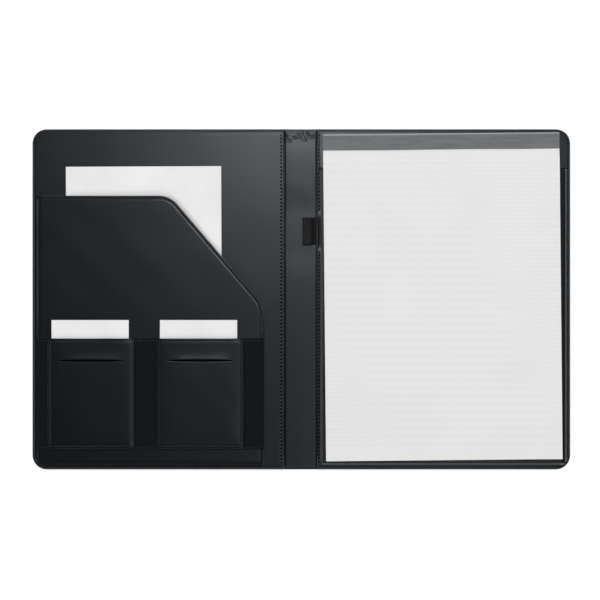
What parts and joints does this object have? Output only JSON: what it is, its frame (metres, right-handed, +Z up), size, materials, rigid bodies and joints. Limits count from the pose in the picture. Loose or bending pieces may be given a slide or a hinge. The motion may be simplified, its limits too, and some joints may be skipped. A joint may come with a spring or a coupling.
{
  "type": "conference folder",
  "caption": "Open conference folder: hinged padded covers, soft spine, document pocket with card pockets, pen loop and a writing pad held in a sleeve.",
  "frame": {"origin": "on the supporting surface, under the middle of the open folder", "axes": "+X to the right across the open folder, +Y to its head, +Z up out of the inner faces"},
  "size_m": [0.4836, 0.306, 0.0117],
  "materials": {
    "cover_leatherette": "fine grained matt leatherette",
    "lining_leatherette": "smooth soft leatherette with a satin sheen",
    "pocket_leatherette": "smooth satin leatherette",
    "band_fabric": "matt black woven fabric",
    "elastic": "ribbed black elastic",
    "board": "plain greyboard",
    "pad_board": "plain greyboard",
    "paper": "white uncoated paper",
    "ruled_paper": "white uncoated paper with faint ruled lines",
    "binding_tape": "grey paper-backed binding tape"
  },
  "bodies": {
    "back_cover": {"back_cover_skin": "cover_leatherette", "back_board": "board", "back_lining": "lining_leatherette", "pad_pocket": "pocket_leatherette", "pad_backing": "pad_board", "pad_pages": "ruled_paper", "pad_binding": "binding_tape"},
    "spine": {"spine_skin": "cover_leatherette", "spine_lining": "lining_leatherette", "pen_loop": "elastic"},
    "front_cover": {"front_cover_skin": "cover_leatherette", "front_board": "board", "front_lining": "lining_leatherette", "document_pocket": "pocket_leatherette", "document_sheet": "paper", "card_band": "band_fabric", "card_pocket_left": "pocket_leatherette", "card_pocket_right": "pocket_leatherette", "note_card_left": "paper", "note_card_right": "paper"}
  },
  "joints": [
    {"name": "spine_hinge", "type": "hinge", "parent": "back_cover", "child": "spine", "pos_m": [0.0136, 0, 0.0014], "axis": [0, 1, 0], "range_deg": [0, 90]},
    {"name": "front_cover_hinge", "type": "hinge", "parent": "spine", "child": "front_cover", "pos_m": [-0.0148, 0, 0.0014], "axis": [0, 1, 0], "range_deg": [0, 90]}
  ]
}
